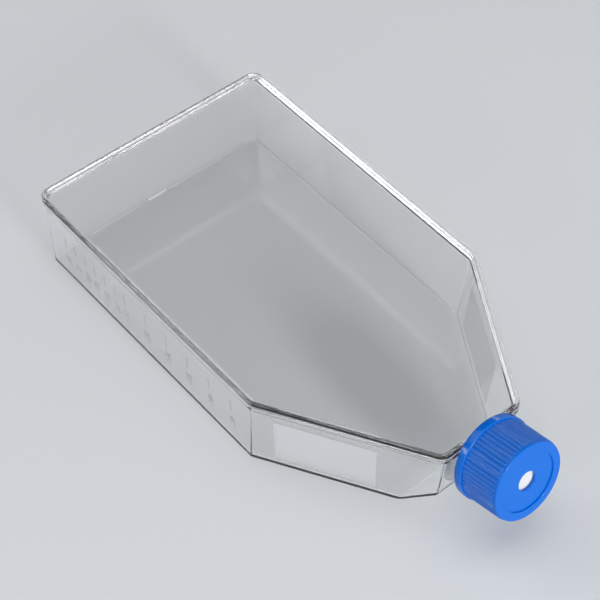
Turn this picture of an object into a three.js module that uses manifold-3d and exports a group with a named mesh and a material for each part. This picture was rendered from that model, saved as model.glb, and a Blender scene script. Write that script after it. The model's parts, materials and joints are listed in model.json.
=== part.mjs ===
// A vented cell culture flask with 175 square centimetres of growth area.
// Millimetres, +Z up. The flask lies on its growth surface with the neck towards +X, and the
// origin is on that surface, in the middle of the overall length and width.
// It is made of four pieces: a moulded polystyrene tray with the threaded neck in its front
// wall, a polystyrene top plate welded onto the tray's rim, a ribbed polyethylene screw cap,
// and the round membrane that lets air through the hole in the cap.
import * as THREE from 'three';
import { mergeVertices } from 'three/addons/utils/BufferGeometryUtils.js';
import Module from 'manifold-3d';

const wasm = await Module();
wasm.setup();

// Plan of the flask, on the outer face of the rim. Lengths run from the rear end forwards.
const RIM_WIDTH = 113.8;
const SHOULDER_LENGTH = 137.5;
const RIM_LENGTH = 201.1;
const FRONT_WIDTH = 38.2;
const REAR_CORNER_RADIUS = 5.5;
const SHOULDER_RADIUS = 6;
const FRONT_CORNER_RADIUS = 5;
const SHARPEST_CORNER = 0.6;

// Tray: wall and floor thickness, the rim flange, and the draft that lets it leave its mould.
const WALL = 1.5;
const FLOOR = 1.5;
const FLANGE_UNDERSIDE = 36.35;
const FLANGE_THICKNESS = 2.1;
const REAR_OVERHANG = 0.3;
const SIDE_OVERHANG = 1.27;
const FRONT_OVERHANG = 1.4;
const REAR_DRAFT = 0.5;
const SIDE_DRAFT = 1.7;
const TAPER_DRAFT = 4.3;
const FRONT_DRAFT = 5;
const BOTTOM_EDGE_RADIUS = 1.2;
const INNER_EDGE_RADIUS = 1;

// Pouring ramp: the floor folds up to the front wall. Its length runs from the fold to the
// front of the rim.
const RAMP_LENGTH = 16.6;
const RAMP_ANGLE = 41;
const FOLD_RADIUS = 5;

// Step joint between the tray's rim and the top plate.
const LIP_WIDTH = 1.1;
const LIP_HEIGHT = 1;
const LID_CLEARANCE = 0.3;

// Top plate: a sunk panel inside a raised bead that follows the whole rim.
const PANEL_THICKNESS = 1.5;
const PANEL_RISE = 0.25;
const BEAD_WIDTH = 2.05;
const BEAD_HEIGHT = 2.6;
const BEAD_FOOT_RADIUS = 1.2;

// Gate scar: a shallow recess at the middle of the rear bottom edge.
const GATE_WIDTH = 9;
const GATE_HEIGHT = 2;
const GATE_DEPTH = 0.5;

// Neck: a canted tube through the front wall.
const NECK_TILT = 14;
const NECK_AXIS_HEIGHT = 29.1;
const NECK_REACH = 22.3;
const NECK_RADIUS = 13.3;
const NECK_BORE_RADIUS = 11;
const NECK_ROOT_FILLET = 3;
const NECK_WEB = 1.5;
const MOUTH_ROUNDING = 0.5;
const BORE_OVERRUN = 12;

// Single-start right-hand thread, the same lead on the neck and in the cap.
const THREAD_LEAD = 4.5;
const THREAD_TURNS = 1.5;
const THREAD_BASE = 2.2;
const FLANK_SLOPE = 0.5;
const NECK_THREAD_HEIGHT = 1.3;
const CAP_THREAD_HEIGHT = 1.25;
const THREAD_START = 2.6;
const THREAD_PLAY = 0.3;
const THREAD_RUN_OUT = 0.12;

// Cap: ribbed grip, smooth skirt band, and a sunk face with the vent hole in its middle.
const CAP_LENGTH = 20.4;
const CAP_TOP = 1.8;
const CAP_BORE_RADIUS = 15;
const SKIRT_RADIUS = 17.3;
const SKIRT_LENGTH = 3.4;
const SKIRT_WALL = 1.5;
const SKIRT_CHAMFER = 0.3;
const RIB_COUNT = 58;
const RIB_DEPTH = 0.45;
const RIB_CREST_RADIUS = 16.6;
const RIB_DRAFT = 0.7;
const RIB_CREST_SHARE = 0.32;
const RIB_BASE_SHARE = 0.64;
const FACE_EDGE = 0.5;
const FACE_EDGE_WIDTH = 0.6;
const FACE_RECESS_RADIUS = 12.6;
const FACE_RECESS_DEPTH = 0.6;
const VENT_RADIUS = 4.1;
const SEAL_GAP = 0.3;
const SEAL_LENGTH = 3;
const SEAL_WALL = 1.2;
const SEAL_TAPER = 0.4;

// Vent membrane, held inside the seal ring against the inner face of the cap.
const MEMBRANE_THICKNESS = 0.4;
const MEMBRANE_CLEARANCE = 0.3;

const ARC_STEPS = 5;
const ROUND_STEPS = 72;
const THREAD_STEPS = 48;
const CUTTER_MARGIN = 1;

const partingHeight = FLANGE_UNDERSIDE + FLANGE_THICKNESS;
const ledgeHeight = partingHeight - LIP_HEIGHT;
const panelTop = partingHeight + PANEL_RISE;
const panelUnderside = panelTop - PANEL_THICKNESS;
const neckTilt = THREE.MathUtils.degToRad(NECK_TILT);
const rampAngle = THREE.MathUtils.degToRad(RAMP_ANGLE);

function slope(degrees) {
  return Math.tan(THREE.MathUtils.degToRad(degrees));
}

function steps(count) {
  return Array.from({ length: count + 1 }, (_, k) => k / count);
}

// ---- solids -------------------------------------------------------------------------------

// Skins a row of closed loops with equal point counts and closes both ends. The loops run
// anticlockwise when seen from the end that the row runs to.
function loft(loops) {
  const count = loops[0].length;
  const last = (loops.length - 1) * count;
  const index = [];
  for (let start = 0; start < last; start += count) {
    for (let i = 0; i < count; i += 1) {
      const next = (i + 1) % count;
      index.push(start + i, start + next, start + count + next);
      index.push(start + i, start + count + next, start + count + i);
    }
  }
  for (let i = 0; i < count / 2 - 1; i += 1) {
    const far = count - 1 - i;
    index.push(i, far, far - 1, i, far - 1, i + 1);
    index.push(last + i, last + i + 1, last + far - 1, last + i, last + far - 1, last + far);
  }
  const points = loops.flat().flatMap((point) => point.toArray());
  const geometry = new THREE.BufferGeometry();
  geometry.setAttribute('position', new THREE.Float32BufferAttribute(points, 3));
  geometry.setIndex(index);
  return geometry;
}

// Revolves a profile of [radius, height] pairs about Z, from the axis outwards and up.
function revolve(profile, segments = ROUND_STEPS) {
  const points = profile.map(([radius, height]) => new THREE.Vector2(radius, height));
  return new THREE.LatheGeometry(points, segments).rotateX(Math.PI / 2);
}

function box(min, max) {
  const size = new THREE.Vector3().subVectors(max, min);
  const centre = new THREE.Vector3().addVectors(min, max).multiplyScalar(0.5);
  return new THREE.BoxGeometry(size.x, size.y, size.z).translate(centre.x, centre.y, centre.z);
}

function toSolid(geometry) {
  geometry.deleteAttribute('normal');
  geometry.deleteAttribute('uv');
  const merged = mergeVertices(geometry);
  const index = merged.index.array;
  const triangles = [];
  for (let i = 0; i < index.length; i += 3) {
    const [a, b, c] = [index[i], index[i + 1], index[i + 2]];
    if (a !== b && b !== c && c !== a) triangles.push(a, b, c);
  }
  return new wasm.Manifold(new wasm.Mesh({
    numProp: 3,
    vertProperties: merged.getAttribute('position').array,
    triVerts: new Uint32Array(triangles),
  }));
}

function toGeometry(solid) {
  const mesh = solid.getMesh();
  const geometry = new THREE.BufferGeometry();
  geometry.setAttribute('position', new THREE.BufferAttribute(mesh.vertProperties, 3));
  geometry.setIndex(new THREE.BufferAttribute(mesh.triVerts, 1));
  geometry.computeVertexNormals();
  return geometry;
}

// ---- plan outline -------------------------------------------------------------------------

// Each edge of the half plan is a line: the direction of its outward normal and its distance
// from the rear end's middle, measured along that normal.
const taperAngle = Math.atan2((RIM_WIDTH - FRONT_WIDTH) / 2, RIM_LENGTH - SHOULDER_LENGTH);

function edge(name, normalAngle, x, y) {
  const normal = new THREE.Vector2(Math.cos(normalAngle), Math.sin(normalAngle));
  return { name, normalAngle, normal, distance: normal.dot(new THREE.Vector2(x, y)) };
}

const rearEdge = edge('rear', Math.PI, 0, 0);
const sideEdge = edge('side', Math.PI / 2, 0, RIM_WIDTH / 2);
const taperEdge = edge('taper', Math.PI / 2 - taperAngle, SHOULDER_LENGTH, RIM_WIDTH / 2);
const frontEdge = edge('front', 0, RIM_LENGTH, 0);

// The point where two edges meet once each has moved inwards by its own inset.
function meet(first, firstInset, second, secondInset) {
  const a = first.distance - firstInset;
  const b = second.distance - secondInset;
  const cross = first.normal.cross(second.normal);
  return new THREE.Vector2(
    (a * second.normal.y - b * first.normal.y) / cross,
    (b * first.normal.x - a * second.normal.x) / cross,
  );
}

// A station is one vertex of the half plan, as a function of the insets of the four edges.
function cornerStations(first, second, radius) {
  return steps(ARC_STEPS).map((share) => (insets) => {
    const inset = Math.max(insets[first.name], insets[second.name]);
    const r = Math.max(radius - inset, SHARPEST_CORNER);
    const centre = meet(first, insets[first.name] + r, second, insets[second.name] + r);
    const angle = THREE.MathUtils.lerp(first.normalAngle, second.normalAngle, share);
    return centre.add(new THREE.Vector2(r * Math.cos(angle), r * Math.sin(angle)));
  });
}

function taperStation(x) {
  return (insets) => {
    const reach = taperEdge.distance - insets.taper - taperEdge.normal.x * x;
    return new THREE.Vector2(x, reach / taperEdge.normal.y);
  };
}

function halfPlan(depth) {
  return [
    ...cornerStations(rearEdge, sideEdge, REAR_CORNER_RADIUS),
    ...cornerStations(sideEdge, taperEdge, SHOULDER_RADIUS),
    ...foldRuns(depth).map((run) => taperStation(foldStart + run)),
    ...cornerStations(taperEdge, frontEdge, FRONT_CORNER_RADIUS),
  ];
}

// Equal insets, for the rim and its bead.
function rimInsets(inset) {
  return { rear: inset, side: inset, taper: inset, front: inset };
}

// Insets of the drafted walls at a height, and at a depth behind their outer faces.
function wallInsets(z, depth) {
  const drop = FLANGE_UNDERSIDE - z;
  return {
    rear: REAR_OVERHANG + drop * slope(REAR_DRAFT) + depth,
    side: SIDE_OVERHANG + drop * slope(SIDE_DRAFT) + depth,
    taper: SIDE_OVERHANG + drop * slope(TAPER_DRAFT) + depth,
    front: FRONT_OVERHANG + drop * slope(FRONT_DRAFT) + depth,
  };
}

// ---- floor and ramp -----------------------------------------------------------------------

// Side view of the floor: flat, an arc at the fold, then the straight ramp. The skins at any
// depth above the underside share the arc's centre, so the floor keeps its thickness.
const foldStart = RIM_LENGTH - RAMP_LENGTH - FOLD_RADIUS * Math.tan(rampAngle / 2);

function foldRuns(depth) {
  return steps(ARC_STEPS - 1).map((t) => (FOLD_RADIUS - depth) * Math.sin(rampAngle * t));
}

function floorHeight(x, depth) {
  const radius = FOLD_RADIUS - depth;
  const run = x - foldStart;
  const arcRun = radius * Math.sin(rampAngle);
  if (run <= 0) return depth;
  if (run < arcRun) return FOLD_RADIUS - Math.sqrt(radius ** 2 - run ** 2);
  return FOLD_RADIUS - radius * Math.cos(rampAngle) + (run - arcRun) * Math.tan(rampAngle);
}

// A closed loop round the flask. Where the insets and the height depend on each other, a few
// passes settle both.
function planLoop(stations, insetsAt, heightAt) {
  const half = stations.map((station) => {
    let z = 0;
    let point = station(insetsAt(z));
    for (let pass = 0; pass < 6; pass += 1) {
      z = heightAt(point.x);
      point = station(insetsAt(z));
    }
    return new THREE.Vector3(point.x, point.y, z);
  });
  const mirrored = half.map((point) => new THREE.Vector3(point.x, -point.y, point.z));
  return [...mirrored, ...half.reverse()];
}

// Loops that round the edge between the floor and the walls, from the floor outwards.
function floorEdgeLoops(stations, depth, floorDepth, radius) {
  return steps(ARC_STEPS).map((share) => {
    const angle = (Math.PI / 2) * (1 - share);
    const inset = depth + radius * (1 - Math.cos(angle));
    const lift = radius * (1 - Math.sin(angle));
    return planLoop(
      stations,
      (z) => wallInsets(z, inset),
      (x) => floorHeight(x, floorDepth) + lift,
    );
  });
}

function levelLoop(stations, insets, z) {
  return planLoop(stations, () => insets, () => z);
}

// ---- tray ---------------------------------------------------------------------------------

function trayOutside() {
  const stations = halfPlan(0);
  return toSolid(loft([
    ...floorEdgeLoops(stations, 0, 0, BOTTOM_EDGE_RADIUS),
    levelLoop(stations, wallInsets(FLANGE_UNDERSIDE, 0), FLANGE_UNDERSIDE),
    levelLoop(stations, rimInsets(0), FLANGE_UNDERSIDE),
    levelLoop(stations, rimInsets(0), partingHeight),
  ]));
}

function trayCavity() {
  const stations = halfPlan(FLOOR);
  return toSolid(loft([
    ...floorEdgeLoops(stations, WALL, FLOOR, INNER_EDGE_RADIUS),
    levelLoop(stations, wallInsets(ledgeHeight, WALL), ledgeHeight),
    levelLoop(stations, rimInsets(LIP_WIDTH), ledgeHeight),
    levelLoop(stations, rimInsets(LIP_WIDTH), partingHeight + CUTTER_MARGIN),
  ]));
}

function gateRecess() {
  return toSolid(box(
    new THREE.Vector3(-CUTTER_MARGIN, -GATE_WIDTH / 2, -CUTTER_MARGIN),
    new THREE.Vector3(wallInsets(0, 0).rear + GATE_DEPTH, GATE_WIDTH / 2, GATE_HEIGHT),
  ));
}

// ---- neck ---------------------------------------------------------------------------------

// The neck's own frame: origin in the middle of the mouth, Z out along the tube.
const neckAxis = new THREE.Vector3(Math.cos(neckTilt), 0, Math.sin(neckTilt));
const mouth = new THREE.Vector3(RIM_LENGTH, 0, NECK_AXIS_HEIGHT)
  .addScaledVector(neckAxis, NECK_REACH);
const neckTurn = Math.PI / 2 - neckTilt;
const neckFrame = new THREE.Matrix4().makeRotationY(neckTurn).setPosition(mouth);

// How far along the tube, from the mouth, the front wall's outer face lies.
function frontWallAt(x, y) {
  const draft = THREE.MathUtils.degToRad(FRONT_DRAFT);
  const normal = new THREE.Vector3(Math.cos(draft), 0, -Math.sin(draft));
  const top = new THREE.Vector3(RIM_LENGTH - FRONT_OVERHANG, 0, FLANGE_UNDERSIDE);
  const wall = new THREE.Plane().setFromNormalAndCoplanarPoint(normal, top);
  const start = new THREE.Vector3(x, y, 0).applyMatrix4(neckFrame);
  return -wall.distanceToPoint(start) / normal.dot(neckAxis);
}

function circleLoop(radius, heightAt) {
  return steps(ROUND_STEPS).slice(0, -1).map((share) => {
    const x = radius * Math.cos(2 * Math.PI * share);
    const y = radius * Math.sin(2 * Math.PI * share);
    return new THREE.Vector3(x, y, heightAt(x, y));
  });
}

// The tube without its bore, growing out of the drafted front wall through a fillet.
function neckOutside() {
  const fillet = steps(ARC_STEPS).map((share) => {
    const angle = (Math.PI / 2) * share;
    const radius = NECK_RADIUS + NECK_ROOT_FILLET * (1 - Math.sin(angle));
    const lift = NECK_ROOT_FILLET * (1 - Math.cos(angle));
    return circleLoop(radius, (x, y) => frontWallAt(x, y) + lift);
  });
  const rootRadius = NECK_RADIUS + NECK_ROOT_FILLET;
  const solid = toSolid(loft([
    circleLoop(rootRadius, (x, y) => frontWallAt(x, y) - WALL / 2),
    ...fillet,
    circleLoop(NECK_RADIUS, () => -MOUTH_ROUNDING),
    circleLoop(NECK_RADIUS - MOUTH_ROUNDING, () => 0),
  ]));
  return solid.transform(neckFrame.toArray());
}

// The bore stops under the flange, which runs on across the neck, and the part of the tube
// that stands higher than the flange is closed by a web in front of the top plate.
function neckBore() {
  const rear = -NECK_REACH - BORE_OVERRUN;
  const bore = toSolid(revolve([
    [0, rear],
    [NECK_BORE_RADIUS, rear],
    [NECK_BORE_RADIUS, -MOUTH_ROUNDING],
    [NECK_BORE_RADIUS + MOUTH_ROUNDING, 0],
    [NECK_BORE_RADIUS + MOUTH_ROUNDING, CUTTER_MARGIN],
    [0, CUTTER_MARGIN],
  ])).transform(neckFrame.toArray());
  const webFront = RIM_LENGTH + LID_CLEARANCE + NECK_WEB;
  return bore.subtract(spaceAbove(FLANGE_UNDERSIDE, webFront));
}

// Everything over a height and behind a distance from the rear end.
function spaceAbove(height, length) {
  return toSolid(box(
    new THREE.Vector3(-RIM_LENGTH, -RIM_WIDTH, height),
    new THREE.Vector3(length, RIM_WIDTH, height + RIM_WIDTH),
  ));
}

// ---- thread -------------------------------------------------------------------------------

// A right-hand ridge of trapezoid section on a cylinder, outside it when side is 1 and inside
// it when side is -1. The ridge sinks into the cylinder at both ends.
function threadRidge(cylinderRadius, height, side, topHeight) {
  const count = Math.round(THREAD_STEPS * THREAD_TURNS);
  return toSolid(loft(steps(count).map((share) => {
    const fade = Math.min(1, share / THREAD_RUN_OUT, (1 - share) / THREAD_RUN_OUT);
    const crest = height * fade - (1 - fade) * THREAD_PLAY / 2;
    const angle = 2 * Math.PI * THREAD_TURNS * (share - 1);
    const middle = topHeight + THREAD_LEAD * THREAD_TURNS * (share - 1);
    const rootHalf = THREAD_BASE / 2 + FLANK_SLOPE * THREAD_PLAY;
    const crestHalf = THREAD_BASE / 2 - FLANK_SLOPE * crest;
    const inner = cylinderRadius - side * THREAD_PLAY;
    const outer = cylinderRadius + side * crest;
    const corners = [
      [inner, middle - side * rootHalf],
      [inner, middle + side * rootHalf],
      [outer, middle + side * crestHalf],
      [outer, middle - side * crestHalf],
    ];
    return corners.map(([radius, z]) => new THREE.Vector3(
      radius * Math.cos(angle),
      radius * Math.sin(angle),
      z,
    ));
  })));
}

// The cap's ridge lies under the neck's, with the play between their bearing flanks.
const flankSpacing = THREAD_BASE - FLANK_SLOPE * (CAP_BORE_RADIUS - NECK_RADIUS);

function neckThread() {
  const ridge = threadRidge(NECK_RADIUS, NECK_THREAD_HEIGHT, 1, -THREAD_START);
  return ridge.transform(neckFrame.toArray());
}

function capThread() {
  const top = -THREAD_START - flankSpacing - THREAD_PLAY;
  return threadRidge(CAP_BORE_RADIUS, CAP_THREAD_HEIGHT, -1, top);
}

function flaskBody() {
  return trayOutside()
    .add(neckOutside())
    .subtract(trayCavity())
    .subtract(spaceAbove(partingHeight, RIM_LENGTH + LID_CLEARANCE))
    .subtract(neckBore())
    .subtract(gateRecess())
    .add(neckThread());
}

// ---- top plate ----------------------------------------------------------------------------

function topPlate() {
  const stations = halfPlan(0);
  const plug = wallInsets(panelUnderside, WALL + LID_CLEARANCE);
  const lip = rimInsets(LIP_WIDTH + LID_CLEARANCE);
  const seat = ledgeHeight + LID_CLEARANCE;
  const crownRadius = BEAD_WIDTH / 2;
  const crownHeight = partingHeight + BEAD_HEIGHT - crownRadius;
  const crown = steps(ARC_STEPS + 1).map((share) => {
    const inset = crownRadius * (1 - Math.cos(Math.PI * share));
    return levelLoop(stations, rimInsets(inset), crownHeight + crownRadius * Math.sin(Math.PI * share));
  });
  const foot = steps(ARC_STEPS).map((share) => {
    const angle = (Math.PI / 2) * share;
    const inset = BEAD_WIDTH + BEAD_FOOT_RADIUS * (1 - Math.cos(angle));
    return levelLoop(stations, rimInsets(inset), panelTop + BEAD_FOOT_RADIUS * (1 - Math.sin(angle)));
  });
  return toSolid(loft([
    levelLoop(stations, plug, panelUnderside),
    levelLoop(stations, plug, seat),
    levelLoop(stations, lip, seat),
    levelLoop(stations, lip, partingHeight),
    levelLoop(stations, rimInsets(0), partingHeight),
    ...crown,
    ...foot,
  ]));
}

// ---- cap ----------------------------------------------------------------------------------

const capInnerFace = SEAL_GAP;
const capFace = capInnerFace + CAP_TOP;
const capEnd = capFace - CAP_LENGTH;
const skirtTop = capEnd + SKIRT_LENGTH;
const faceRadius = RIB_CREST_RADIUS - FACE_EDGE_WIDTH;

// One loop round the cap: four points to a rib, its two foot points and its two crest points.
function ribLoop(rootRadius, crestRadius, z) {
  const pitch = (2 * Math.PI) / RIB_COUNT;
  const corners = [
    [-RIB_BASE_SHARE / 2, rootRadius],
    [-RIB_CREST_SHARE / 2, crestRadius],
    [RIB_CREST_SHARE / 2, crestRadius],
    [RIB_BASE_SHARE / 2, rootRadius],
  ];
  const loop = [];
  for (let rib = 0; rib < RIB_COUNT; rib += 1) {
    for (const [share, radius] of corners) {
      const angle = pitch * (rib + share);
      loop.push(new THREE.Vector3(radius * Math.cos(angle), radius * Math.sin(angle), z));
    }
  }
  return loop;
}

function capOutside() {
  const ribTop = capFace - 2 * FACE_EDGE;
  const footRadius = RIB_CREST_RADIUS + (ribTop - skirtTop) * slope(RIB_DRAFT);
  const edgeRadius = RIB_CREST_RADIUS - RIB_DEPTH / 2;
  return toSolid(loft([
    ribLoop(SKIRT_RADIUS - SKIRT_CHAMFER, SKIRT_RADIUS - SKIRT_CHAMFER, capEnd),
    ribLoop(SKIRT_RADIUS, SKIRT_RADIUS, capEnd + SKIRT_CHAMFER),
    ribLoop(SKIRT_RADIUS, SKIRT_RADIUS, skirtTop),
    ribLoop(footRadius - RIB_DEPTH, footRadius, skirtTop),
    ribLoop(RIB_CREST_RADIUS - RIB_DEPTH, RIB_CREST_RADIUS, ribTop),
    ribLoop(edgeRadius, edgeRadius, capFace - FACE_EDGE),
    ribLoop(faceRadius, faceRadius, capFace),
  ]));
}

// The space inside the cap, down to the tapered ring that plugs the mouth of the neck.
function capInside() {
  const sealRadius = NECK_BORE_RADIUS - SEAL_GAP;
  const sealTip = capInnerFace - SEAL_LENGTH;
  const skirtBore = SKIRT_RADIUS - SKIRT_WALL;
  return toSolid(revolve([
    [0, capEnd - CUTTER_MARGIN],
    [skirtBore, capEnd - CUTTER_MARGIN],
    [skirtBore, skirtTop - SKIRT_CHAMFER],
    [CAP_BORE_RADIUS, skirtTop],
    [CAP_BORE_RADIUS, capInnerFace],
    [sealRadius, capInnerFace],
    [sealRadius - SEAL_TAPER, sealTip],
    [sealRadius - SEAL_WALL, sealTip],
    [sealRadius - SEAL_WALL, capInnerFace],
    [0, capInnerFace],
  ]));
}

function ventHole() {
  return toSolid(revolve([
    [0, capInnerFace - CUTTER_MARGIN],
    [VENT_RADIUS, capInnerFace - CUTTER_MARGIN],
    [VENT_RADIUS, capFace - FACE_RECESS_DEPTH],
    [FACE_RECESS_RADIUS, capFace - FACE_RECESS_DEPTH],
    [FACE_RECESS_RADIUS, capFace + CUTTER_MARGIN],
    [0, capFace + CUTTER_MARGIN],
  ]));
}

function capShell() {
  return capOutside().subtract(capInside()).add(capThread()).subtract(ventHole());
}

function ventMembrane() {
  const radius = NECK_BORE_RADIUS - SEAL_GAP - SEAL_WALL - MEMBRANE_CLEARANCE;
  const top = capInnerFace - MEMBRANE_CLEARANCE;
  return toSolid(revolve([
    [0, top - MEMBRANE_THICKNESS],
    [radius, top - MEMBRANE_THICKNESS],
    [radius, top],
    [0, top],
  ]));
}

// ---- assembly -----------------------------------------------------------------------------

function piece(name, solid, material) {
  const mesh = new THREE.Mesh(toGeometry(solid), material);
  mesh.name = name;
  return mesh;
}

const polystyrene = { color: 0xe8edef, metalness: 0, transparent: true, opacity: 0.35 };
const trayMaterial = new THREE.MeshStandardMaterial({ ...polystyrene, roughness: 0.08 });
const plateMaterial = new THREE.MeshStandardMaterial({ ...polystyrene, roughness: 0.05 });
const capMaterial = new THREE.MeshStandardMaterial({ color: 0x0a6fe0, metalness: 0, roughness: 0.35 });
const membraneMaterial = new THREE.MeshStandardMaterial({ color: 0xf6f6f4, metalness: 0, roughness: 0.9 });

const closure = new THREE.Group();
closure.add(piece('cap_shell', capShell(), capMaterial));
closure.add(piece('vent_membrane', ventMembrane(), membraneMaterial));
closure.position.copy(mouth);
closure.rotation.y = neckTurn;

const overallLength = mouth.x + capFace * Math.cos(neckTilt) + faceRadius * Math.sin(neckTilt);
const flask = new THREE.Group();
flask.add(piece('flask_body', flaskBody(), trayMaterial));
flask.add(piece('top_plate', topPlate(), plateMaterial));
flask.add(closure);
flask.position.x = -overallLength / 2;

export default flask;
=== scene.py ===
import json
import math

import bmesh
import bpy
from mathutils import Matrix, Vector


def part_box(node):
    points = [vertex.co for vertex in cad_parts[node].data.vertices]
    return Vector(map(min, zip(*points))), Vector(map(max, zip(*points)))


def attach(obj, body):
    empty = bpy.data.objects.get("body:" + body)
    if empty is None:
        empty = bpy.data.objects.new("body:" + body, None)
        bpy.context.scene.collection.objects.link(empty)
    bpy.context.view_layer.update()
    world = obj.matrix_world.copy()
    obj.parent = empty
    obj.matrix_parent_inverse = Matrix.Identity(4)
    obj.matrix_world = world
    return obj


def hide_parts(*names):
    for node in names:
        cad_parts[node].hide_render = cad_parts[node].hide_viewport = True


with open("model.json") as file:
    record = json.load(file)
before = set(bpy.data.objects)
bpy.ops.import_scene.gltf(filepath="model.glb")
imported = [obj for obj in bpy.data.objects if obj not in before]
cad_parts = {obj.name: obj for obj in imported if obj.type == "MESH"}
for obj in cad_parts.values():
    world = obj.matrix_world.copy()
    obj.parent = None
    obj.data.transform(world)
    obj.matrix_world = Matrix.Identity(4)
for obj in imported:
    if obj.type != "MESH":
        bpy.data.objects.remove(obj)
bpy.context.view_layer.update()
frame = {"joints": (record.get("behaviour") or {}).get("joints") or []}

MM = 0.001
scene = bpy.context.scene


# ---- Camera -------------------------------------------------------------------------------
# A long lens looks down on the flask from in front of its left side, so that the top plate,
# the graduated wall, the left tapered wall and the face of the cap all show.

CAMERA_AZIMUTH = math.radians(-39.70)
CAMERA_ELEVATION = math.radians(50.25)
CAMERA_DISTANCE = 711.8 * MM
CAMERA_ROLL = math.radians(-0.24)
CAMERA_TARGET = Vector((-17.6, 0.9, 17.8)) * MM
CAMERA_LENS = 106.98
SENSOR_WIDTH = 36.0
CLIP_START = 10 * MM

camera = bpy.data.objects.new("camera", bpy.data.cameras.new("camera"))
camera.data.lens = CAMERA_LENS
camera.data.sensor_width = SENSOR_WIDTH
camera.data.clip_start = CLIP_START
towards = Vector((
    math.cos(CAMERA_ELEVATION) * math.cos(CAMERA_AZIMUTH),
    math.cos(CAMERA_ELEVATION) * math.sin(CAMERA_AZIMUTH),
    math.sin(CAMERA_ELEVATION),
))
aim = (-towards).to_track_quat("-Z", "Y").to_matrix().to_4x4()
camera.matrix_world = (
    Matrix.Translation(CAMERA_TARGET + towards * CAMERA_DISTANCE)
    @ aim
    @ Matrix.Rotation(CAMERA_ROLL, 4, "Z")
)
scene.collection.objects.link(camera)
scene.camera = camera


# ---- Table top and light ------------------------------------------------------------------
# The flask lies on a plain pale table top of matt laminate, which runs into a backdrop as
# pale. Soft boxes stand overhead, all round and beside the camera in a dim grey room.

TABLE_SIZE = 6.0
TABLE_GAP = 0.05 * MM
TABLE_COLOUR = "#D2D5D8"
BACKDROP_COLOUR = "#CED1D5"
ROOM_COLOUR = "#C4C9CF"
ROOM_STRENGTH = 0.15

# Distances from the flask between which the table top fades into the backdrop, and heights
# of the line of sight between which the backdrop fades into the room.
TABLE_FADE = (0.30, 0.70)
BACKDROP_FADE = (math.sin(math.radians(12)), math.sin(math.radians(26)))


def linear(hex_colour):
    """The linear colour, with alpha, of an sRGB hex value."""
    channels = [int(hex_colour[i:i + 2], 16) / 255 for i in (1, 3, 5)]
    return [c / 12.92 if c <= 0.04045 else ((c + 0.055) / 1.055) ** 2.4 for c in channels] + [1.0]


def new_material(name):
    """An empty node material."""
    material = bpy.data.materials.new(name)
    material.use_nodes = True
    material.node_tree.nodes.clear()
    return material


def add_node(material, kind, values=None, links=None, **settings):
    """Adds a node with its settings, the values of its inputs, and the sources linked to it."""
    node = material.node_tree.nodes.new(kind)
    for name, value in settings.items():
        setattr(node, name, value)
    for name, value in (values or {}).items():
        node.inputs[name].default_value = value
    for name, source in (links or {}).items():
        material.node_tree.links.new(source, node.inputs[name])
    return node


def backdrop_share(material, share):
    """Lets a share of the backdrop show to the camera and in clear and glossy surfaces only."""
    rays = add_node(material, "ShaderNodeLightPath")
    shines = add_node(
        material, "ShaderNodeMath",
        links={0: rays.outputs["Is Glossy Ray"], 1: rays.outputs["Is Transmission Ray"]},
        operation="MAXIMUM",
    )
    seen = add_node(
        material, "ShaderNodeMath",
        links={0: rays.outputs["Is Camera Ray"], 1: shines.outputs[0]}, operation="MAXIMUM",
    )
    return add_node(
        material, "ShaderNodeMath", links={0: seen.outputs[0], 1: share}, operation="MULTIPLY",
    ).outputs[0]


# Matt laminate: an even pale grey with no gloss of its own, which fades into the backdrop far
# from the flask.
matt_laminate = new_material("matt laminate")
laminate = add_node(matt_laminate, "ShaderNodeBsdfPrincipled", {
    "Base Color": linear(TABLE_COLOUR), "Roughness": 0.9, "Specular IOR Level": 0.05,
})
place = add_node(matt_laminate, "ShaderNodeTexCoord")
distance = add_node(
    matt_laminate, "ShaderNodeVectorMath", links={0: place.outputs["Object"]}, operation="LENGTH",
)
fade = add_node(
    matt_laminate, "ShaderNodeMapRange",
    {"From Min": TABLE_FADE[0], "From Max": TABLE_FADE[1]},
    {"Value": distance.outputs["Value"]}, interpolation_type="SMOOTHSTEP",
)
far_table = add_node(matt_laminate, "ShaderNodeEmission", {"Color": linear(BACKDROP_COLOUR)})
table_surface = add_node(matt_laminate, "ShaderNodeMixShader", links={
    0: backdrop_share(matt_laminate, fade.outputs[0]),
    1: laminate.outputs[0], 2: far_table.outputs[0],
})
add_node(matt_laminate, "ShaderNodeOutputMaterial", links={"Surface": table_surface.outputs[0]})
matt_laminate.cycles.emission_sampling = "NONE"

bm = bmesh.new()
bmesh.ops.create_grid(
    bm, x_segments=1, y_segments=1, size=TABLE_SIZE / 2,
    matrix=Matrix.Translation((0, 0, -TABLE_GAP)),
)
table_top = bpy.data.objects.new("table_top", bpy.data.meshes.new("table_top"))
bm.to_mesh(table_top.data)
bm.free()
table_top.data.materials.append(matt_laminate)
scene.collection.objects.link(table_top)


def soft_box(name, place, target, width, height, watts):
    """An area lamp that faces its target, and that the camera doesn't see directly."""
    light = bpy.data.objects.new(name, bpy.data.lights.new(name, "AREA"))
    light.data.shape = "RECTANGLE"
    light.data.size = width
    light.data.size_y = height
    light.data.energy = watts
    turn = (Vector(target) - Vector(place)).to_track_quat("-Z", "Y").to_matrix().to_4x4()
    light.matrix_world = Matrix.Translation(place) @ turn
    light.visible_camera = False
    scene.collection.objects.link(light)


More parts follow.
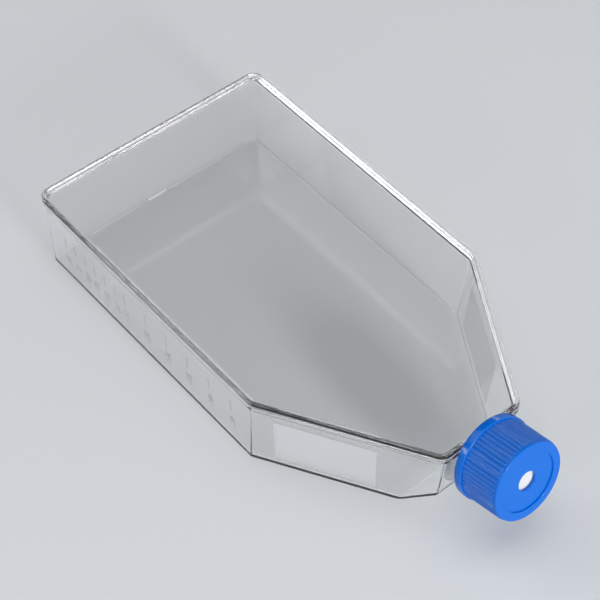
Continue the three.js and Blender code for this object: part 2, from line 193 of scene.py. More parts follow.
# Two wide, dim panels above the flask and above its rear end light it evenly. Narrower boxes
# light the cap's face and draw bright lines along the rims and the edges of the walls.
soft_box("overhead", (0.05, 0.00, 1.42), (0, 0, 0), 1.00, 1.00, 5.6)
soft_box("above_rear_rim", (0.30, 0.60, 1.42), (0, 0, 0), 0.12, 0.36, 0.7)
soft_box("before_cap", (2.10, -0.15, 0.80), (0, 0, 0), 0.35, 0.35, 38)
soft_box("beside_camera", (0.785, -0.613, 0.836), (0, 0, 0), 0.10, 0.80, 1.5)
soft_box("above_rear_end", (-1.25, -0.45, 1.60), (-0.10, 0, 0), 1.10, 1.10, 7)
soft_box("left_front", (0.30, -1.05, 0.50), (0, 0, 0), 0.40, 0.20, 1.5)
soft_box("left", (-0.60, -0.94, 0.46), (0, 0, 0), 0.45, 0.20, 2.5)
soft_box("beyond", (-0.42, 1.02, 0.42), (0, 0, 0), 0.80, 0.12, 1.8)
soft_box("right", (0.95, 0.50, 0.50), (0, 0, 0), 0.30, 0.12, 0.9)

# The backdrop rises a little above the horizon, and the dim room lies over it.
room = bpy.data.worlds.new("room")
room.use_nodes = True
room.node_tree.nodes.clear()
sight = add_node(room, "ShaderNodeTexCoord")
slope = add_node(room, "ShaderNodeSeparateXYZ", links={0: sight.outputs["Generated"]})
low = add_node(
    room, "ShaderNodeMapRange",
    {"From Min": BACKDROP_FADE[0], "From Max": BACKDROP_FADE[1], "To Min": 1.0, "To Max": 0.0},
    {"Value": slope.outputs["Z"]}, interpolation_type="SMOOTHSTEP",
)
dim = add_node(room, "ShaderNodeBackground", {
    "Color": linear(ROOM_COLOUR), "Strength": ROOM_STRENGTH,
})
pale = add_node(room, "ShaderNodeBackground", {"Color": linear(BACKDROP_COLOUR)})
surroundings = add_node(room, "ShaderNodeMixShader", links={
    0: backdrop_share(room, low.outputs[0]), 1: dim.outputs[0], 2: pale.outputs[0],
})
add_node(room, "ShaderNodeOutputWorld", links={"Surface": surroundings.outputs[0]})
scene.world = room
scene.view_settings.view_transform = "Standard"

# Light crosses many surfaces of clear plastic before it leaves the flask.
scene.cycles.max_bounces = 24
scene.cycles.transmission_bounces = 24
scene.cycles.transparent_max_bounces = 32


# ---- Tray ---------------------------------------------------------------------------------
# The lower half of the flask, injection moulded in crystal polystyrene: floor, walls, pouring
# ramp and rim flange in one wall of 1.5 mm. Every wall leans out so that it leaves its mould.
# Each tapered wall has a frosted area to write on.

REAR_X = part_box("top_plate")[0].x
RIM_FRONT_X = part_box("top_plate")[1].x
RIM_HALF_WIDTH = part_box("top_plate")[1].y
SHOULDER_X = REAR_X + 137.5 * MM
FRONT_HALF_WIDTH = 19.1 * MM
WALL = 1.5 * MM
FLANGE_UNDERSIDE = 36.35 * MM
PARTING_HEIGHT = 38.45 * MM
LIP_WIDTH = 1.1 * MM
LEDGE = PARTING_HEIGHT - 1.0 * MM
LID_CLEARANCE = 0.3 * MM
REAR_CORNER = 5.5 * MM
SHOULDER_CORNER = 6.0 * MM
FRONT_CORNER = 5.0 * MM
SHARPEST_CORNER = 0.6 * MM
FLOOR_EDGE = 1.2 * MM
INNER_EDGE = 1.0 * MM
OVERHANG = {"rear": 0.3 * MM, "side": 1.27 * MM, "taper": 1.27 * MM, "front": 1.4 * MM}
DRAFT = {"rear": 0.5, "side": 1.7, "taper": 4.3, "front": 5.0}
FOLD_X = REAR_X + 184.5 * MM
FOLD_RADIUS = 5.0 * MM
RAMP_ANGLE = math.radians(41)
WRITING_X = (REAR_X + 144.4 * MM, REAR_X + 178.9 * MM)
WRITING_HEIGHT = (5.4 * MM, 30.4 * MM)
CORNER_STEPS = 9
EDGE_STEPS = 6
FOLD_STEPS = 6
MERGE_DISTANCE = 1e-7
SAME_HEIGHT = 1e-6
SETTLING_ROUNDS = 5

# The gate scar is a shallow recess. Its cutter starts outside the wall, and has a width and
# a height.
GATE = Vector((0.8, 9.0, 2.0)) * MM
GATE_DEPTH = 0.5 * MM

# Crystal polystyrene from a polished mould: clear as glass, with a little more sparkle, and
# a long, very low ripple where the plastic has shrunk. Lamps shine through it to the table,
# less so where their light only glances off a wall.
# The frosted area comes from an etched patch of the mould, the hazy joint from melted plastic.
# Each finish has its colour, clearness and roughness, and the size and depth of its ripple.
CLEAR_FINISHES = {
    "polished polystyrene": ("#FEFEFE", 1.0, 0.0, 30.0 * MM, 0.012 * MM),
    "etched polystyrene": ("#E6E8EA", 0.55, 0.65, 0.6 * MM, 0.06 * MM),
    "welded polystyrene": ("#F4F6F7", 0.9, 0.25, 0.8 * MM, 0.05 * MM),
}
ETCHED, WELDED = 1, 2
clear_materials = []
for name, (colour, clearness, roughness, ripple_size, ripple_depth) in CLEAR_FINISHES.items():
    material = new_material(name)
    place = add_node(material, "ShaderNodeTexCoord")
    ripple = add_node(
        material, "ShaderNodeTexNoise", {"Scale": 1 / ripple_size, "Detail": 2.0},
        {"Vector": place.outputs["Object"]},
    )
    bump = add_node(
        material, "ShaderNodeBump", {"Strength": 1.0, "Distance": ripple_depth},
        {"Height": ripple.outputs[0]},
    )
    plastic = add_node(
        material, "ShaderNodeBsdfPrincipled",
        {
            "Base Color": linear(colour), "Roughness": roughness, "IOR": 1.59,
            "Transmission Weight": clearness,
        },
        {"Normal": bump.outputs[0]},
    )
    glancing = add_node(material, "ShaderNodeLayerWeight", {"Blend": 0.06})
    passed = add_node(
        material, "ShaderNodeMapRange", {"To Min": 1.0, "To Max": 0.0},
        {"Value": glancing.outputs["Facing"]},
    )
    passing = add_node(
        material, "ShaderNodeBsdfTransparent", links={"Color": passed.outputs[0]},
    )
    rays = add_node(material, "ShaderNodeLightPath")
    lighting = add_node(
        material, "ShaderNodeMath",
        links={0: rays.outputs["Is Shadow Ray"], 1: rays.outputs["Is Diffuse Ray"]},
        operation="MAXIMUM",
    )
    surface = add_node(material, "ShaderNodeMixShader", links={
        0: lighting.outputs[0], 1: plastic.outputs[0], 2: passing.outputs[0],
    })
    add_node(material, "ShaderNodeOutputMaterial", links={"Surface": surface.outputs[0]})
    clear_materials.append(material)

taper_angle = math.atan2(RIM_HALF_WIDTH - FRONT_HALF_WIDTH, RIM_FRONT_X - SHOULDER_X)
fold_start = FOLD_X - FOLD_RADIUS * math.tan(RAMP_ANGLE / 2)


def plan_edge(name, angle, x, y):
    """A straight edge of the plan: its name, angle, normal and distance from the origin."""
    normal = Vector((math.cos(angle), math.sin(angle)))
    return name, angle, normal, normal.dot(Vector((x, y)))


rear_edge = plan_edge("rear", math.pi, REAR_X, 0)
side_edge = plan_edge("side", math.pi / 2, 0, RIM_HALF_WIDTH)
taper_edge = plan_edge("taper", math.pi / 2 - taper_angle, SHOULDER_X, RIM_HALF_WIDTH)
front_edge = plan_edge("front", 0, RIM_FRONT_X, 0)


def shares(count):
    """Even steps from 0 to 1."""
    return [k / count for k in range(count + 1)]


def corner_point(first, second, radius, insets, share):
    """A point on the rounded corner between two edges that have moved in by their insets."""
    first_name, first_angle, n, first_reach = first
    second_name, second_angle, m, second_reach = second
    radius = max(radius - max(insets[first_name], insets[second_name]), SHARPEST_CORNER)
    a = first_reach - insets[first_name] - radius
    b = second_reach - insets[second_name] - radius
    cross = n.x * m.y - n.y * m.x
    angle = first_angle + (second_angle - first_angle) * share
    return Vector((
        (a * m.y - b * n.y) / cross + radius * math.cos(angle),
        (b * n.x - a * m.x) / cross + radius * math.sin(angle),
    ))


def taper_point(x, insets):
    """The point at x on the tapered edge, moved in by its inset."""
    name, _, normal, edge_reach = taper_edge
    reach = edge_reach - insets[name] - normal.x * x
    return Vector((x, reach / normal.y))


def square_taper_point(x, insets):
    """The point that lies squarely inside the taper's outer edge at x."""
    return taper_point(x, rim_insets(0)) - taper_edge[2] * insets["taper"]


def plan_stations(floor_depth=0.0):
    """The points of the half plan from rear to front, each as a function of the insets."""
    folds = [
        fold_start + (FOLD_RADIUS - floor_depth) * math.sin(RAMP_ANGLE * share)
        for share in shares(FOLD_STEPS)
    ]

    def corner(first, second, radius):
        return [
            lambda insets, share=share: corner_point(first, second, radius, insets, share)
            for share in shares(CORNER_STEPS)
        ]

    return [
        *corner(rear_edge, side_edge, REAR_CORNER),
        *corner(side_edge, taper_edge, SHOULDER_CORNER),
        *[lambda insets, x=x: square_taper_point(x, insets) for x in WRITING_X],
        *[lambda insets, x=x: taper_point(x, insets) for x in folds],
        *corner(taper_edge, front_edge, FRONT_CORNER),
    ]


def wall_insets(height, depth):
    """How far each wall's skin at a height and depth lies inside the rim's outer face."""
    drop = FLANGE_UNDERSIDE - height
    return {
        name: OVERHANG[name] + drop * math.tan(math.radians(DRAFT[name])) + depth
        for name in OVERHANG
    }


def rim_insets(inset):
    """The same inset for every edge."""
    return dict.fromkeys(OVERHANG, inset)


def floor_height(x, depth):
    """Height of the skin that lies at a depth above the underside, along the flask."""
    radius = FOLD_RADIUS - depth
    run = x - fold_start
    arc_run = radius * math.sin(RAMP_ANGLE)
    if run <= 0:
        return depth
    if run < arc_run:
        return FOLD_RADIUS - math.sqrt(radius ** 2 - run ** 2)
    return FOLD_RADIUS - radius * math.cos(RAMP_ANGLE) + (run - arc_run) * math.tan(RAMP_ANGLE)


def plan_loop(stations, insets_at, height_at):
    """Points round the flask, where each point's insets and height settle together."""
    half = []
    for station in stations:
        height = 0.0
        point = station(insets_at(height))
        for _ in range(SETTLING_ROUNDS):
            height = height_at(point.x)
            point = station(insets_at(height))
        half.append(Vector((point.x, point.y, height)))
    return [Vector((p.x, -p.y, p.z)) for p in half] + half[::-1]


def level_loop(stations, insets, height):
    """Points round the flask at one height."""
    return plan_loop(stations, lambda _: insets, lambda _: height)


def floor_edge_loops(stations, depth, floor_depth, radius):
    """Loops that round the edge between floor and walls, from the floor outwards."""
    loops = []
    for share in shares(EDGE_STEPS):
        angle = math.pi / 2 * (1 - share)
        inset = depth + radius * (1 - math.cos(angle))
        lift = radius * (1 - math.sin(angle))
        loops.append(plan_loop(
            stations,
            lambda z: wall_insets(z, inset),
            lambda x: floor_height(x, floor_depth) + lift,
        ))
    return loops


def loft(bm, loops, closed=False):
    """Draws the first loop, extrudes its edges through the others and fills both ends."""
    number = bm.verts.layers.int.new("number")
    verts = [bm.verts.new(point) for point in loops[0]]
    for k, vert in enumerate(verts):
        vert[number] = k
    edges = first = [bm.edges.new((verts[k - 1], verts[k])) for k in range(len(verts))]
    for loop in loops[1:] + loops[:1] * closed:
        made = bmesh.ops.extrude_edge_only(bm, edges=edges)["geom"]
        verts = {item for item in made if isinstance(item, bmesh.types.BMVert)}
        for vert in verts:
            vert.co = loop[vert[number]]
        edges = [
            item for item in made
            if isinstance(item, bmesh.types.BMEdge) and verts.issuperset(item.verts)
        ]
    if not closed:
        for end in (first, edges):
            bmesh.ops.contextual_create(bm, geom=end)


def fold_floor(bm):
    """Splits the floor's face at each line of the fold, from side to side."""
    low_faces = [face for face in bm.faces if face.verts[0].co.z < LEDGE / 2]
    floor = max(low_faces, key=lambda face: face.calc_area())
    rows = {}
    for vert in floor.verts:
        if vert.co.x > fold_start - WALL:
            rows.setdefault(round(vert.co.x, 7), []).append(vert)
    for row in rows.values():
        if len(row) == 2:
            bmesh.ops.connect_verts(bm, verts=row)


def solid_object(name, bm, materials, place=Matrix()):
    """Merges doubles, turns every face outwards, applies the place and makes the object."""
    bmesh.ops.remove_doubles(bm, verts=bm.verts, dist=MERGE_DISTANCE)
    bmesh.ops.recalc_face_normals(bm, faces=bm.faces)
    bmesh.ops.transform(bm, matrix=place, verts=bm.verts)
    solid = bpy.data.objects.new(name, bpy.data.meshes.new(name))
    bm.to_mesh(solid.data)
    bm.free()
    for material in materials:
        solid.data.materials.append(material)
    scene.collection.objects.link(solid)
    return solid


def combine(target, tool, operation):
    """Joins a tool solid to the target, or cuts it away, and removes the tool."""
    boolean = target.modifiers.new("combine", "BOOLEAN")
    boolean.object = tool
    boolean.operation = operation
    boolean.solver = "MANIFOLD"
    mesh = bpy.data.meshes.new_from_object(
        target.evaluated_get(bpy.context.evaluated_depsgraph_get())
    )
    target.modifiers.clear()
    target.data = mesh
    bpy.data.objects.remove(tool)


def finish_edges(piece, sharp_angle):
    """Smooth shading that stops at crisp edges and leaves flat faces flat."""
    piece.data.polygons.foreach_set("use_smooth", [True] * len(piece.data.polygons))
    piece.data.set_sharp_from_angle(angle=math.radians(sharp_angle))
    weighted = piece.modifiers.new("weighted normals", "WEIGHTED_NORMAL")
    weighted.keep_sharp = True
    weighted.weight = 80


def block(low, high):
    """A plain block between two corners."""
    bm = bmesh.new()
    bmesh.ops.create_cube(bm, size=1)
    bmesh.ops.scale(bm, vec=Vector(high) - Vector(low), verts=bm.verts)
    bmesh.ops.translate(bm, vec=(Vector(high) + Vector(low)) / 2, verts=bm.verts)
    return solid_object("block", bm, clear_materials)


bm = bmesh.new()
stations = plan_stations()
loft(bm, floor_edge_loops(stations, 0, 0, FLOOR_EDGE) + [
    plan_loop(
        stations, lambda z: wall_insets(z, 0),
        lambda x: max(WRITING_HEIGHT[0], floor_height(x, 0) + FLOOR_EDGE),
    ),
    level_loop(stations, wall_insets(WRITING_HEIGHT[1], 0), WRITING_HEIGHT[1]),
    level_loop(stations, wall_insets(FLANGE_UNDERSIDE, 0), FLANGE_UNDERSIDE),
    level_loop(stations, rim_insets(0), FLANGE_UNDERSIDE),
    level_loop(stations, rim_insets(0), PARTING_HEIGHT),
])
fold_floor(bm)
for face in bm.faces:
    middle = face.calc_center_median()
    if all(low < value < high for value, (low, high) in (
        (middle.x, WRITING_X), (middle.z, WRITING_HEIGHT),
    )):
        face.material_index = ETCHED
flask_tray = solid_object("flask_tray", bm, clear_materials)

bm = bmesh.new()
stations = plan_stations(WALL)
loft(bm, floor_edge_loops(stations, WALL, WALL, INNER_EDGE) + [
    level_loop(stations, wall_insets(LEDGE, WALL), LEDGE),
    level_loop(stations, rim_insets(LIP_WIDTH), LEDGE),
    level_loop(stations, rim_insets(LIP_WIDTH), PARTING_HEIGHT + WALL),
])
fold_floor(bm)
chamber = solid_object("chamber", bm, clear_materials)


# ---- Neck ---------------------------------------------------------------------------------
# A canted tube moulded in one with the tray's front wall. It carries a single-start thread
# for the cap, its bore opens into the flask over the pouring ramp, and a web closes the part
# that stands higher than the rim.

cap_turn = next(joint for joint in frame["joints"] if joint["name"] == "cap_turn")
NECK_AXIS = Vector(cap_turn["axis"])
MOUTH = Vector(cap_turn["pos_m"])
NECK_RADIUS = 13.3 * MM
NECK_BORE = 11.0 * MM
NECK_REACH = 22.3 * MM
NECK_WEB = 1.5 * MM
ROOT_FILLET = 3.0 * MM
MOUTH_ROUNDING = 0.5 * MM
BORE_OVERRUN = 12.0 * MM
FROST_MARGIN = 0.05 * MM
ROUND_STEPS = 96
THREAD_LEAD = 4.5 * MM
THREAD_TURNS = 1.5
THREAD_BASE = 2.2 * MM
FLANK_SLOPE = 0.5
THREAD_HEIGHT = 1.3 * MM
THREAD_START = 2.6 * MM
THREAD_PLAY = 0.3 * MM
THREAD_RUN_OUT = 0.12
CREST_SHARES = (0.0, 0.55, 0.85, 1.0)

neck_frame = Matrix.Translation(MOUTH) @ Matrix.Rotation(math.acos(NECK_AXIS.z), 4, "Y")
front_draft = math.radians(DRAFT["front"])
front_normal = Vector((math.cos(front_draft), 0, -math.sin(front_draft)))
front_wall_top = Vector((RIM_FRONT_X - OVERHANG["front"], 0, FLANGE_UNDERSIDE))


def front_wall_at(x, y):
    """How far along the neck, from its mouth, the front wall's outer face lies."""
    start = neck_frame @ Vector((x, y, 0))
    return (front_wall_top - start).dot(front_normal) / NECK_AXIS.dot(front_normal)


def round_loop(radius, height_at):
    """Points round the neck's axis, each at its own height."""
    points = []
    for share in shares(ROUND_STEPS)[:-1]:
        x = radius * math.cos(2 * math.pi * share)
        y = radius * math.sin(2 * math.pi * share)
        points.append(Vector((x, y, height_at(x, y))))
    return points


def turned(bm, profile):
    """Spins a profile of (radius, height) pairs about Z into a closed solid."""
    verts = [bm.verts.new((radius, 0, height)) for radius, height in profile]
    edges = [bm.edges.new(pair) for pair in zip(verts, verts[1:])]
    bmesh.ops.spin(
        bm, geom=verts + edges, cent=(0, 0, 0), axis=(0, 0, 1), angle=2 * math.pi,
        steps=ROUND_STEPS, use_merge=True,
    )


def thread_ridge(radius, height, side, top, materials):
    """A right-hand ridge outside a cylinder (side 1) or inside it (side -1)."""
    loops = []
    for share in shares(round(ROUND_STEPS * THREAD_TURNS)):
        fade = min(1, share / THREAD_RUN_OUT, (1 - share) / THREAD_RUN_OUT)
        crest = height * fade - (1 - fade) * THREAD_PLAY / 2
        angle = 2 * math.pi * THREAD_TURNS * (share - 1)
        middle = top + THREAD_LEAD * THREAD_TURNS * (share - 1)
        flank = [(-THREAD_PLAY, THREAD_BASE / 2 + FLANK_SLOPE * THREAD_PLAY)]
        flank += [
            (crest * rise, THREAD_BASE / 2 - FLANK_SLOPE * crest * rise ** 3 * (2 - rise))
            for rise in CREST_SHARES
        ]
        section = [(rise, -half) for rise, half in flank] + flank[::-1]
        loops.append([
            Vector((
                (radius + side * rise) * math.cos(angle),
                (radius + side * rise) * math.sin(angle),
                middle + half,
            ))
            for rise, half in section
        ])
    bm = bmesh.new()
    loft(bm, loops)
    return solid_object("thread_ridge", bm, materials, neck_frame)


loops = [round_loop(NECK_RADIUS + ROOT_FILLET, lambda x, y: front_wall_at(x, y) - WALL / 2)]
for share in shares(EDGE_STEPS):
    angle = math.pi / 2 * share
    lift = ROOT_FILLET * (1 - math.cos(angle))
    loops.append(round_loop(
        NECK_RADIUS + ROOT_FILLET * (1 - math.sin(angle)),
        lambda x, y: front_wall_at(x, y) + lift,
    ))
for share in shares(EDGE_STEPS):
    angle = math.pi / 2 * share
    height = MOUTH_ROUNDING * (math.sin(angle) - 1)
    loops.append(round_loop(
        NECK_RADIUS - MOUTH_ROUNDING * (1 - math.cos(angle)), lambda x, y: height,
    ))
bm = bmesh.new()
loft(bm, loops)
# The fillet at the neck's root is left as dull as the writing areas.
for face in bm.faces:
    middle = face.calc_center_median()
    if middle.xy.length > NECK_RADIUS + FROST_MARGIN:
        face.material_index = ETCHED
neck_tube = solid_object("neck_tube", bm, clear_materials, neck_frame)

bm = bmesh.new()
rear = -NECK_REACH - BORE_OVERRUN
turned(bm, [
    (0, rear), (NECK_BORE, rear), (NECK_BORE, -MOUTH_ROUNDING),
    *[
        (
            NECK_BORE + MOUTH_ROUNDING * (1 - math.cos(math.pi / 2 * share)),
            MOUTH_ROUNDING * (math.sin(math.pi / 2 * share) - 1),
        )
        for share in shares(EDGE_STEPS)
    ],
    (NECK_BORE + MOUTH_ROUNDING, MOUTH_ROUNDING), (0, MOUTH_ROUNDING),
])
neck_bore = solid_object("neck_bore", bm, clear_materials, neck_frame)

# Blocks that reach past the whole flask trim the neck's bore and web.
far = RIM_HALF_WIDTH * 1.5
web_front = RIM_FRONT_X + LID_CLEARANCE + NECK_WEB
combine(neck_bore, block((-far, -far, FLANGE_UNDERSIDE), (web_front, far, far)), "DIFFERENCE")
combine(flask_tray, neck_tube, "UNION")
combine(flask_tray, chamber, "DIFFERENCE")
over_plate = block((-2 * far, -far, PARTING_HEIGHT), (RIM_FRONT_X + LID_CLEARANCE, far, far))
combine(flask_tray, over_plate, "DIFFERENCE")
combine(flask_tray, neck_bore, "DIFFERENCE")
gate = block((REAR_X - GATE.x, -GATE.y / 2, -GATE.z), (
    REAR_X + wall_insets(0, 0)["rear"] + GATE_DEPTH, GATE.y / 2, GATE.z,
))
gate.data.polygons.foreach_set("material_index", [ETCHED] * len(gate.data.polygons))
combine(flask_tray, gate, "DIFFERENCE")
combine(
    flask_tray,
    thread_ridge(NECK_RADIUS, THREAD_HEIGHT, 1, -THREAD_START, clear_materials),
    "UNION",
)

# The top of the lip is melted to the top plate.
for polygon in flask_tray.data.polygons:
    if abs(polygon.center.z - PARTING_HEIGHT) < SAME_HEIGHT and polygon.normal.z > 0.9:
        polygon.material_index = WELDED


# ---- Graduations --------------------------------------------------------------------------
# Raised lines and plain numbers, moulded on the left wall in one with the tray. They give the
# volume in millilitres when the flask stands on its rear end.

MARKED_VOLUMES = (50, 75, 100, 125, 150, 175, 200, 250, 300, 350, 400, 450)
FIRST_LEVEL = 1.6 * MM
LENGTH_PER_MILLILITRE = 0.27 * MM
LINE_SPAN = (20.0 * MM, 26.0 * MM)
LINE_WIDTH = 0.4 * MM
NUMBER_FOOT = 9.8 * MM
NUMBER_SIZE = 4.3 * MM
NUMBER_DROP = 1.2 * MM
MARK_RELIEF = 0.15 * MM
MARK_ROOT = 0.1 * MM

side_draft = math.radians(DRAFT["side"])


def on_left_wall(x, z):
    """The frame of a mark on the left wall: X down the wall, Y forwards, Z outwards."""
    down = Vector((0, math.sin(side_draft), -math.cos(side_draft)))
    forwards = Vector((1, 0, 0))
    out = down.cross(forwards)
    place = Matrix((down, forwards, out)).transposed().to_4x4()
    return Matrix.Translation((x, wall_insets(z, 0)["side"] - RIM_HALF_WIDTH, z)) @ place


def number_mesh(value):
    """A plain number as a mesh, whose last figure ends at the origin."""
    text = bpy.data.curves.new("number", "FONT")
    text.body = str(value)
    text.size = NUMBER_SIZE
    text.align_x = "RIGHT"
    text.extrude = (MARK_RELIEF + MARK_ROOT) / 2
    holder = bpy.data.objects.new("number", text)
    mesh = bpy.data.meshes.new_from_object(holder)
    bpy.data.objects.remove(holder)
    return mesh


bm = bmesh.new()
relief_middle = (MARK_RELIEF - MARK_ROOT) / 2
for volume in MARKED_VOLUMES:
    level = REAR_X + FIRST_LEVEL + LENGTH_PER_MILLILITRE * volume
    bmesh.ops.create_cube(bm, size=1, matrix=(
        on_left_wall(level, sum(LINE_SPAN) / 2)
        @ Matrix.Translation((0, 0, relief_middle))
        @ Matrix.Diagonal((LINE_SPAN[1] - LINE_SPAN[0], LINE_WIDTH, MARK_RELIEF + MARK_ROOT, 1))
    ))
    known = set(bm.verts)
    bm.from_mesh(number_mesh(volume))
    foot = Matrix.Translation((0, -NUMBER_DROP, relief_middle))
    bmesh.ops.transform(
        bm, verts=[vert for vert in bm.verts if vert not in known],
        matrix=on_left_wall(level, NUMBER_FOOT) @ foot,
    )
graduations = solid_object("graduations", bm, clear_materials)
combine(flask_tray, graduations, "UNION")
finish_edges(flask_tray, sharp_angle=40)
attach(flask_tray, "flask")
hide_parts("flask_body")


# ---- Top plate ----------------------------------------------------------------------------
# A flat polystyrene panel with a raised round bead along its edge. It drops into the step of
# the tray's rim and is welded there all the way round.

PANEL_TOP = PARTING_HEIGHT + 0.25 * MM
PANEL_UNDERSIDE = PANEL_TOP - 1.5 * MM
BEAD_WIDTH = 2.05 * MM
BEAD_HEIGHT = 2.6 * MM
BEAD_FOOT = 1.2 * MM
WELD_GAP = 0.05 * MM
CROWN_STEPS = 14

stations = plan_stations()
plug = wall_insets(PANEL_UNDERSIDE, WALL + LID_CLEARANCE)
lip = rim_insets(LIP_WIDTH + LID_CLEARANCE)
crown = BEAD_WIDTH / 2
loops = [
    level_loop(stations, plug, PANEL_UNDERSIDE),
    level_loop(stations, plug, LEDGE + LID_CLEARANCE),
    level_loop(stations, lip, LEDGE + LID_CLEARANCE),
    level_loop(stations, lip, PARTING_HEIGHT + WELD_GAP),
    level_loop(stations, rim_insets(0), PARTING_HEIGHT + WELD_GAP),
]
for share in shares(CROWN_STEPS):
    loops.append(level_loop(
        stations, rim_insets(crown * (1 - math.cos(math.pi * share))),
        PARTING_HEIGHT + BEAD_HEIGHT - crown * (1 - math.sin(math.pi * share)),
    ))
for share in shares(EDGE_STEPS):
    angle = math.pi / 2 * share
    loops.append(level_loop(
        stations, rim_insets(BEAD_WIDTH + BEAD_FOOT * (1 - math.cos(angle))),
        PANEL_TOP + BEAD_FOOT * (1 - math.sin(angle)),
    ))
bm = bmesh.new()
loft(bm, loops)
clear_top = solid_object("clear_top", bm, clear_materials)
for polygon in clear_top.data.polygons:
    height = polygon.center.z - PARTING_HEIGHT - WELD_GAP
    if abs(height) < SAME_HEIGHT and polygon.normal.z < -0.9:
        polygon.material_index = WELDED
finish_edges(clear_top, sharp_angle=40)
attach(clear_top, "flask")
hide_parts("top_plate")


# ---- Cap ----------------------------------------------------------------------------------
# A screw cap moulded in blue polyethylene: ribbed grip, smooth skirt band at its open end,
# and a flat face sunk a little round the vent hole. A tapered ring inside seals the mouth.

FACE = 2.1 * MM
INNER_FACE = 0.3 * MM
CAP_END = -18.3 * MM
SKIRT_TOP = -14.9 * MM
SKIRT_RADIUS = 17.3 * MM
SKIRT_BORE = 15.8 * MM
SKIRT_ROUNDING = 0.4 * MM
CAP_BORE = 15.0 * MM
RIB_COUNT = 58
RIB_CREST = 16.6 * MM
RIB_DEPTH = 0.45 * MM
RIB_DRAFT = math.radians(0.7)
RIB_END = 1.1 * MM
RIB_END_ROUNDING = 0.5 * MM
FACE_STEP = 0.1 * MM
FACE_ROUNDING = 0.5 * MM
RECESS_RADIUS = 12.6 * MM
RECESS_DEPTH = 0.6 * MM
RECESS_ROUNDING = 0.15 * MM
VENT_RADIUS = 4.1 * MM
FLAT_MARGIN = 0.15 * MM
SEAL_RADIUS = 10.7 * MM
SEAL_WALL = 1.2 * MM
SEAL_TAPER = 0.4 * MM
SEAL_LENGTH = 3.0 * MM
CAP_THREAD_HEIGHT = 1.25 * MM
CAP_BLUE = "#0066CC"
GRAIN_SIZE = 0.25 * MM
GRAIN_DEPTH = 0.01 * MM
FLOW_MARK_SIZE = 9.0 * MM

# Points of one rib: share of the pitch from its middle, and how far it stands out there.
RIB_PROFILE = (
    (-0.50, 0.0), (-0.41, 0.02), (-0.34, 0.42), (-0.25, 0.74), (-0.13, 0.94),
    (0.0, 1.0), (0.13, 0.94), (0.25, 0.74), (0.34, 0.42), (0.41, 0.02),
)

# Moulded polyethylene: a full even blue, satin rather than glossy, slightly translucent at
# its edges, with the faint grain of a spark-eroded mould and long flow marks.
satin_polyethylene = new_material("satin polyethylene")
place = add_node(satin_polyethylene, "ShaderNodeTexCoord")
grain = add_node(
    satin_polyethylene, "ShaderNodeTexNoise", {"Scale": 1 / GRAIN_SIZE, "Detail": 3.0},
    {"Vector": place.outputs["Object"]},
)
bump = add_node(
    satin_polyethylene, "ShaderNodeBump", {"Strength": 0.5, "Distance": GRAIN_DEPTH},
    {"Height": grain.outputs[0]},
)
flow = add_node(
    satin_polyethylene, "ShaderNodeTexNoise", {"Scale": 1 / FLOW_MARK_SIZE, "Detail": 2.0},
    {"Vector": place.outputs["Object"]},
)
gloss = add_node(
    satin_polyethylene, "ShaderNodeMapRange",
    {"From Min": 0.3, "From Max": 0.7, "To Min": 0.12, "To Max": 0.18},
    {"Value": flow.outputs[0]},
)
polyethylene = add_node(
    satin_polyethylene, "ShaderNodeBsdfPrincipled",
    {
        "Base Color": linear(CAP_BLUE), "IOR": 1.51, "Specular IOR Level": 0.28,
        "Subsurface Weight": 0.12, "Subsurface Scale": 1.0 * MM,
    },
    {"Normal": bump.outputs[0], "Roughness": gloss.outputs[0]},
)
add_node(satin_polyethylene, "ShaderNodeOutputMaterial", links={"Surface": polyethylene.outputs[0]})


def rib_loop(radius, height, rib_depth=0.0):
    """A loop round the cap whose ribs stand out by the rib depth from the radius."""
    points = []
    for rib in range(RIB_COUNT):
        for share, rise in RIB_PROFILE:
            angle = 2 * math.pi * (rib + share) / RIB_COUNT
            reach = radius + rib_depth * rise
            points.append(Vector((reach * math.cos(angle), reach * math.sin(angle), height)))
    return points


def arc(centre, radius, start, end, count=4):
    """Points of (radius, height) along an arc, its angles in degrees."""
    points = []
    for share in shares(count):
        angle = math.radians(start + (end - start) * share)
        points.append((centre[0] + radius * math.cos(angle), centre[1] + radius * math.sin(angle)))
    return points


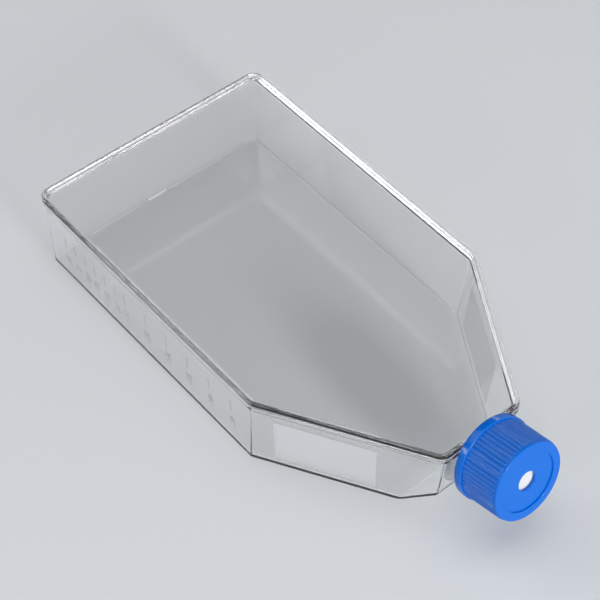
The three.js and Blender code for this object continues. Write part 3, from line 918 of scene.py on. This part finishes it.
rib_root = RIB_CREST - RIB_DEPTH
foot_root = rib_root + (RIB_END - SKIRT_TOP) * math.tan(RIB_DRAFT)
face_edge = rib_root + FACE_STEP
profile = arc((SKIRT_RADIUS - SKIRT_ROUNDING, CAP_END + SKIRT_ROUNDING), SKIRT_ROUNDING, -90, 0)
profile += arc((SKIRT_RADIUS - SKIRT_ROUNDING, SKIRT_TOP - SKIRT_ROUNDING), SKIRT_ROUNDING, 0, 90)
outside = [(radius, height, 0.0) for radius, height in profile]
outside += [(foot_root, SKIRT_TOP, RIB_DEPTH), (rib_root, RIB_END - RIB_END_ROUNDING, RIB_DEPTH)]
outside += [
    (rib_root, RIB_END - RIB_END_ROUNDING * (1 - share), RIB_DEPTH * math.sqrt(1 - share ** 2))
    for share in (0.4, 0.7, 0.9, 1.0)
]
outside += [
    (radius, height, 0.0) for radius, height in
    arc((face_edge - FACE_ROUNDING, FACE - FACE_ROUNDING), FACE_ROUNDING, 0, 90, 5)
    + [
        (face_edge - FACE_ROUNDING - FLAT_MARGIN, FACE),
        (RECESS_RADIUS + RECESS_ROUNDING + FLAT_MARGIN, FACE),
    ]
    + arc((RECESS_RADIUS + RECESS_ROUNDING, FACE - RECESS_ROUNDING), RECESS_ROUNDING, 90, 180, 3)
    + [
        (RECESS_RADIUS, FACE - RECESS_DEPTH),
        (VENT_RADIUS + RECESS_ROUNDING + FLAT_MARGIN, FACE - RECESS_DEPTH),
    ]
    + arc((VENT_RADIUS + RECESS_ROUNDING, FACE - RECESS_DEPTH - RECESS_ROUNDING),
          RECESS_ROUNDING, 90, 180, 3)
    + [
        (VENT_RADIUS, INNER_FACE), (SEAL_RADIUS - SEAL_WALL, INNER_FACE),
        (SEAL_RADIUS - SEAL_WALL, INNER_FACE - SEAL_LENGTH),
        (SEAL_RADIUS - SEAL_TAPER, INNER_FACE - SEAL_LENGTH), (SEAL_RADIUS, INNER_FACE),
        (CAP_BORE, INNER_FACE), (CAP_BORE, SKIRT_TOP),
        (SKIRT_BORE, SKIRT_TOP - SKIRT_ROUNDING), (SKIRT_BORE, CAP_END),
    ]
]
bm = bmesh.new()
loft(bm, [rib_loop(*level) for level in outside], closed=True)
screw_cap = solid_object("screw_cap", bm, [satin_polyethylene], neck_frame)
flank_spacing = THREAD_BASE - FLANK_SLOPE * (CAP_BORE - NECK_RADIUS)
cap_thread = thread_ridge(
    CAP_BORE, CAP_THREAD_HEIGHT, -1, -THREAD_START - flank_spacing - THREAD_PLAY,
    [satin_polyethylene],
)
combine(screw_cap, cap_thread, "UNION")
finish_edges(screw_cap, sharp_angle=50)
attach(screw_cap, "cap")
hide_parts("cap_shell")


# ---- Vent membrane ------------------------------------------------------------------------
# A round of white hydrophobic filter, held inside the seal ring behind the vent hole: air
# passes it, liquid and dust don't.

MEMBRANE_RADIUS = 9.2 * MM
MEMBRANE_THICKNESS = 0.4 * MM
MEMBRANE_ROUNDING = 0.1 * MM
FELT_SHADES = ("#C9CCCD", "#E3E3E1")
FIBRE_SIZE = 0.35 * MM
FIBRE_DEPTH = 0.06 * MM

# Spun filter fibres: matt white with a fine felted surface.
filter_felt = new_material("spun filter felt")
place = add_node(filter_felt, "ShaderNodeTexCoord")
fibres = add_node(
    filter_felt, "ShaderNodeTexNoise",
    {"Scale": 1 / FIBRE_SIZE, "Detail": 6.0, "Roughness": 0.7, "Distortion": 1.2},
    {"Vector": place.outputs["Object"]},
)
bump = add_node(
    filter_felt, "ShaderNodeBump", {"Strength": 0.8, "Distance": FIBRE_DEPTH},
    {"Height": fibres.outputs[0]},
)
tone = add_node(filter_felt, "ShaderNodeValToRGB", links={"Fac": fibres.outputs[0]})
for element, shade in zip(tone.color_ramp.elements, FELT_SHADES):
    element.color = linear(shade)
felt = add_node(
    filter_felt, "ShaderNodeBsdfPrincipled", {"Roughness": 0.9},
    {"Base Color": tone.outputs[0], "Normal": bump.outputs[0]},
)
add_node(filter_felt, "ShaderNodeOutputMaterial", links={"Surface": felt.outputs[0]})

bm = bmesh.new()
turned(bm, [
    (0, -MEMBRANE_THICKNESS),
    *arc((MEMBRANE_RADIUS - MEMBRANE_ROUNDING, MEMBRANE_ROUNDING - MEMBRANE_THICKNESS),
         MEMBRANE_ROUNDING, -90, 0, 3),
    *arc((MEMBRANE_RADIUS - MEMBRANE_ROUNDING, -MEMBRANE_ROUNDING), MEMBRANE_ROUNDING, 0, 90, 3),
    (0, 0),
])
vent_disc = solid_object("vent_disc", bm, [filter_felt], neck_frame)
finish_edges(vent_disc, sharp_angle=50)
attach(vent_disc, "vent")
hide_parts("vent_membrane")
